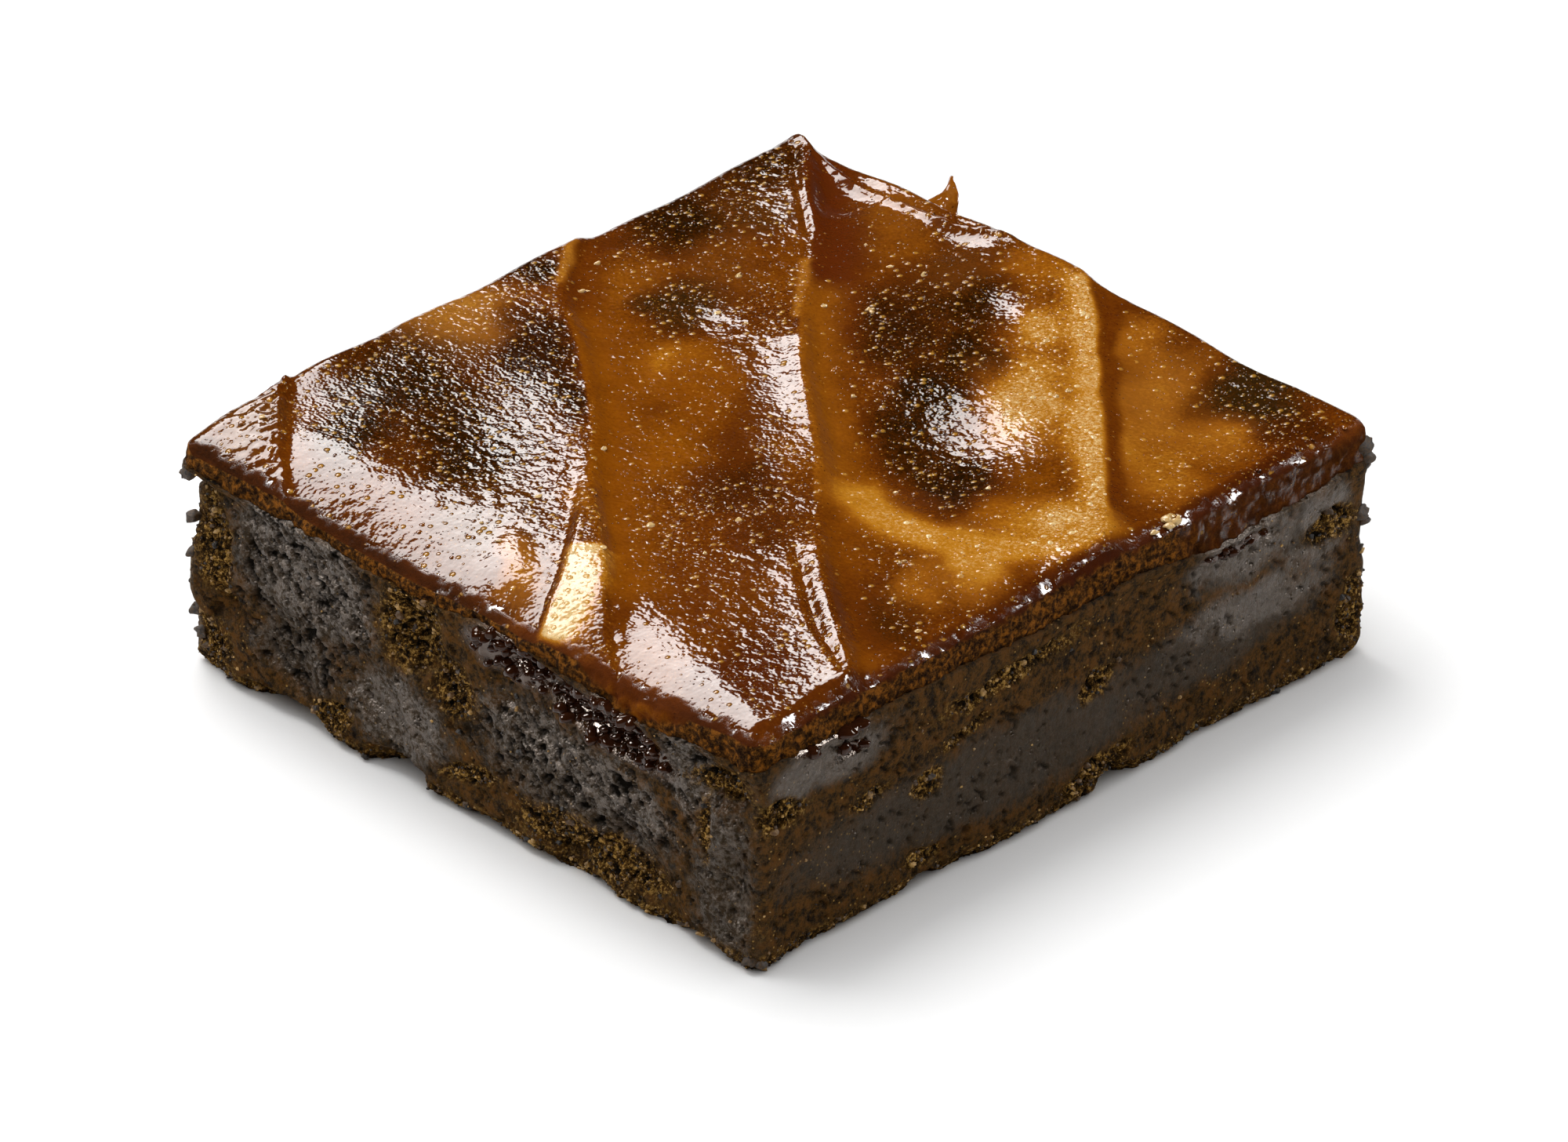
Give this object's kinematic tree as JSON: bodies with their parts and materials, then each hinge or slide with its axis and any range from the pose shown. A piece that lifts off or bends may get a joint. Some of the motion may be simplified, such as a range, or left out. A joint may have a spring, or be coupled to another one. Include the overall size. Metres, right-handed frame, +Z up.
{
  "type": "chocolate brownie",
  "caption": "Square slab of dense chocolate cake under a glossy layer of fudge frosting with knife ridges, resting flat on its underside.",
  "frame": {"origin": "middle of the underside, on the surface that the brownie rests on", "axes": "+Z up, -Y out of the torn front face, +X out of the clean cut side face"},
  "size_m": [0.07, 0.0735, 0.0243],
  "materials": {
    "cake": "dense dark chocolate crumb, knife-smeared to a dull sheen in places",
    "frosting": "glossy caramel-brown fudge, darker where it is thin and golden on its ridges"
  },
  "bodies": {
    "root": {"cake": "cake", "frosting": "frosting"}
  },
  "joints": []
}
